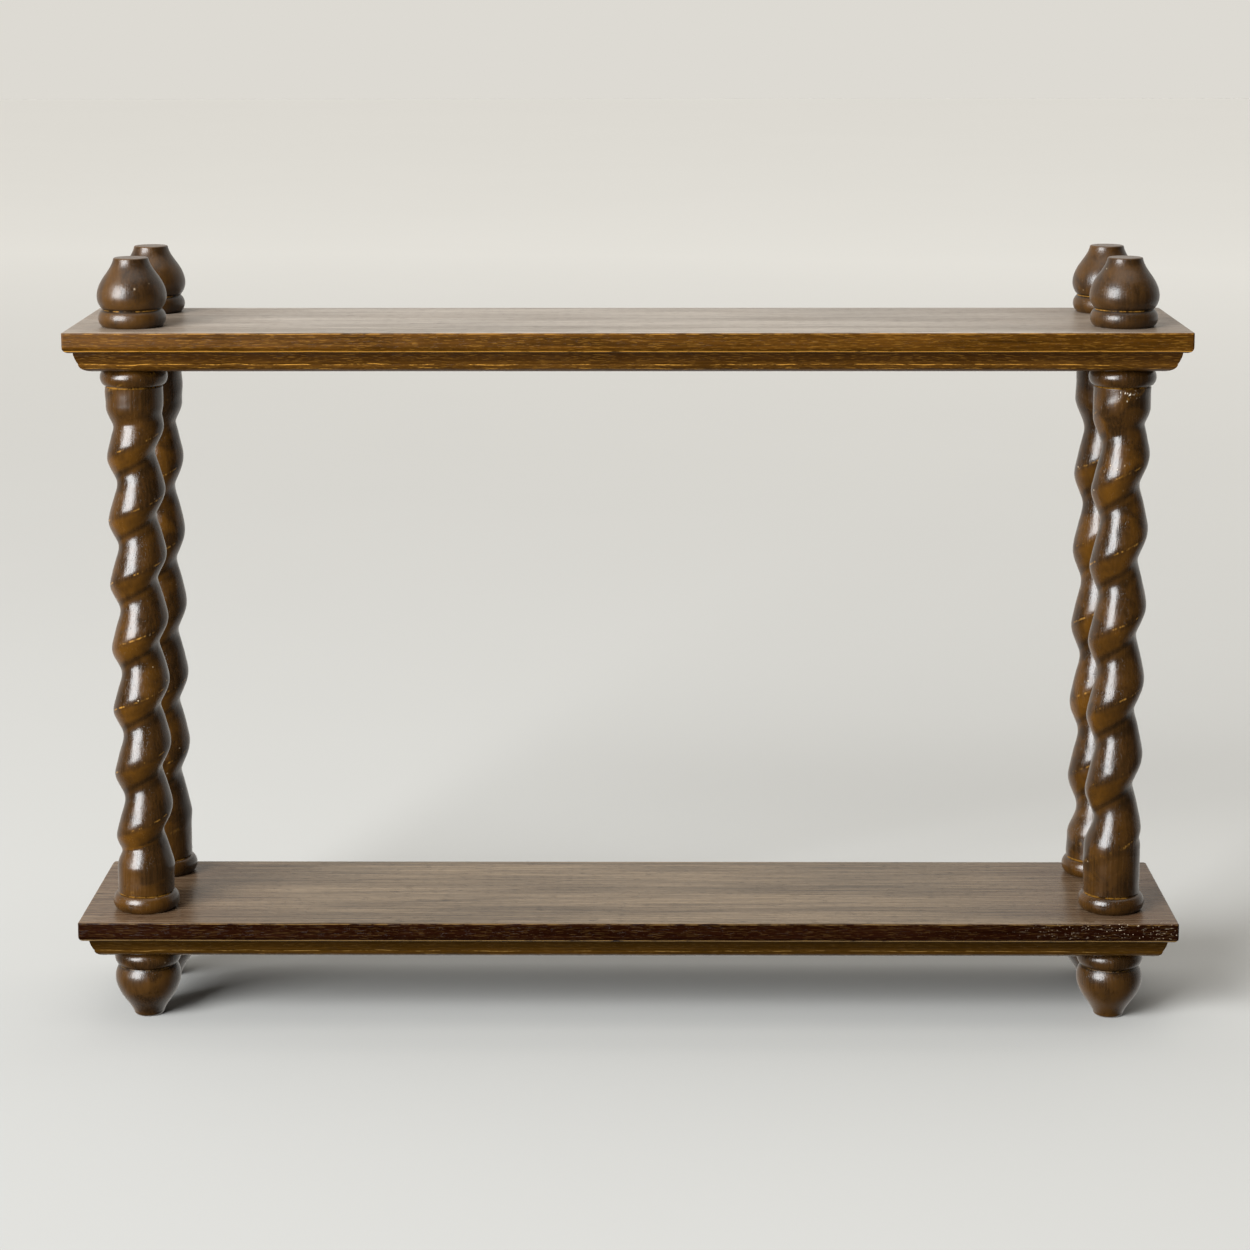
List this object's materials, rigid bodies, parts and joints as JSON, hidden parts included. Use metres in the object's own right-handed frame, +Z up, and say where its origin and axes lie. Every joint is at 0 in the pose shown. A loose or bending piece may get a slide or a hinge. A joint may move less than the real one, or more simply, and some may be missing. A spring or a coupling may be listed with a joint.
{
  "type": "wall shelf",
  "caption": "Small wall shelf: a moulded upper and lower board joined by turned barley-twist corner posts, with finials above and drops below, hung on keyhole plates.",
  "frame": {"origin": "middle of the box's base, on the plane of the four drops' flat tips", "axes": "+X along the boards towards the right end seen from the front, +Y from the moulded front towards the wall, +Z up"},
  "size_m": [0.76, 0.152, 0.5345],
  "materials": {
    "board_wood": "dark walnut stain under worn satin polish",
    "turned_wood": "dark walnut stain under glossy polish",
    "screw_steel": "zinc plated",
    "plate_steel": "zinc plated, dull"
  },
  "bodies": {
    "root": {"top_board": "board_wood", "bottom_board": "board_wood", "post_front_left": "turned_wood", "finial_front_left": "turned_wood", "drop_front_left": "turned_wood", "upper_dowel_screw_front_left": "screw_steel", "lower_dowel_screw_front_left": "screw_steel", "post_front_right": "turned_wood", "finial_front_right": "turned_wood", "drop_front_right": "turned_wood", "upper_dowel_screw_front_right": "screw_steel", "lower_dowel_screw_front_right": "screw_steel", "post_back_left": "turned_wood", "finial_back_left": "turned_wood", "drop_back_left": "turned_wood", "upper_dowel_screw_back_left": "screw_steel", "lower_dowel_screw_back_left": "screw_steel", "post_back_right": "turned_wood", "finial_back_right": "turned_wood", "drop_back_right": "turned_wood", "upper_dowel_screw_back_right": "screw_steel", "lower_dowel_screw_back_right": "screw_steel", "keyhole_plate_left": "plate_steel", "plate_screws_left": "screw_steel", "keyhole_plate_right": "plate_steel", "plate_screws_right": "screw_steel"}
  },
  "joints": []
}
